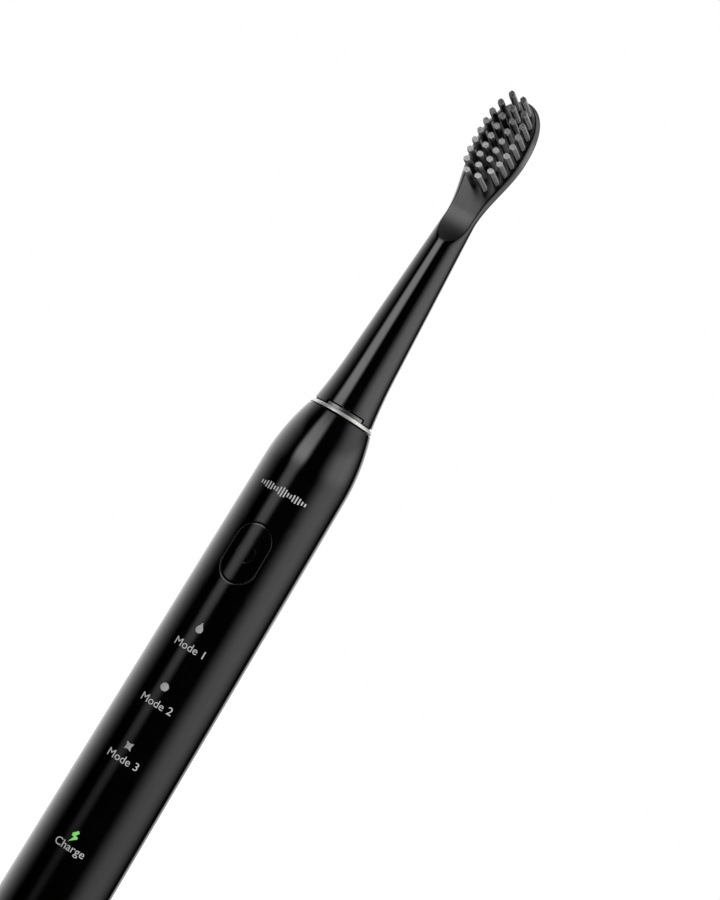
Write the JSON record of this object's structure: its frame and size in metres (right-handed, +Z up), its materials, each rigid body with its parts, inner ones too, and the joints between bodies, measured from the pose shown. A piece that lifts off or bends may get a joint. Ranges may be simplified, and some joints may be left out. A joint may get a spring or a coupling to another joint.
{
  "type": "electric toothbrush",
  "caption": "Slim upright electric toothbrush: tapered glossy handle with a press button, metal trim ring, and a push-on oval brush head with round bristle tufts.",
  "frame": {"origin": "centre of the base, on the surface the brush stands on", "axes": "+Z up the handle's axis towards the brush head; -Y the way the bristles and the button face"},
  "size_m": [0.025, 0.0261, 0.243],
  "materials": {
    "gloss_black": "high gloss",
    "pearl_metal": "satin plated",
    "bristle": "satin nylon",
    "rubber": "matte",
    "steel": "ground",
    "magnet": "nickel plated",
    "copper": "enamelled wire",
    "bronze": "sintered",
    "nickel": "plated",
    "frame_plastic": "moulded",
    "board": "solder mask",
    "battery_wrap": "shrink film",
    "light_guide": "frosted clear"
  },
  "bodies": {
    "handle": {"handle_shell": "gloss_black", "base_cap": "gloss_black", "trim_ring": "pearl_metal", "base_seal": "rubber", "shaft_seal": "rubber", "motor_mount": "rubber", "motor_can": "steel", "stator_core": "steel", "tact_switch": "steel", "stator_coil": "copper", "charging_coil": "copper", "upper_bearing": "bronze", "lower_bearing": "bronze", "battery_contact_lower": "nickel", "battery_contact_upper": "nickel", "battery": "battery_wrap", "circuit_board": "board", "chassis": "frame_plastic", "coil_bobbin": "frame_plastic", "light_guide_drop": "light_guide", "light_guide_dot": "light_guide", "light_guide_star": "light_guide", "light_guide_bolt": "light_guide"},
    "drive": {"drive_shaft": "steel", "rotor_magnet": "magnet"},
    "brush_head": {"head_shell": "gloss_black", "head_clip": "steel", "tuft_01": "bristle", "tuft_02": "bristle", "tuft_03": "bristle", "tuft_04": "bristle", "tuft_05": "bristle", "tuft_06": "bristle", "tuft_07": "bristle", "tuft_08": "bristle", "tuft_09": "bristle", "tuft_10": "bristle", "tuft_11": "bristle", "tuft_12": "bristle", "tuft_13": "bristle", "tuft_14": "bristle", "tuft_15": "bristle", "tuft_16": "bristle", "tuft_17": "bristle", "tuft_18": "bristle", "tuft_19": "bristle", "tuft_20": "bristle", "tuft_21": "bristle", "tuft_22": "bristle", "tuft_23": "bristle", "tuft_24": "bristle", "tuft_25": "bristle", "tuft_26": "bristle", "tuft_27": "bristle", "tuft_28": "bristle", "tuft_29": "bristle", "tuft_30": "bristle"},
    "button": {"button_cap": "gloss_black"}
  },
  "joints": [
    {"name": "shaft_swing", "type": "hinge", "parent": "handle", "child": "drive", "pos_m": [0, 0, 0.126], "axis": [0, 0, 1], "range_deg": [-3, 3], "stiffness_Nm_per_rad": 0.2},
    {"name": "brush_head_pull", "type": "slide", "parent": "drive", "child": "brush_head", "axis": [0, 0, 1], "range_m": [0, 0.03]},
    {"name": "button_press", "type": "slide", "parent": "handle", "child": "button", "axis": [0, 1, 0], "range_m": [0, 0.0005], "stiffness_N_per_m": 2000}
  ]
}
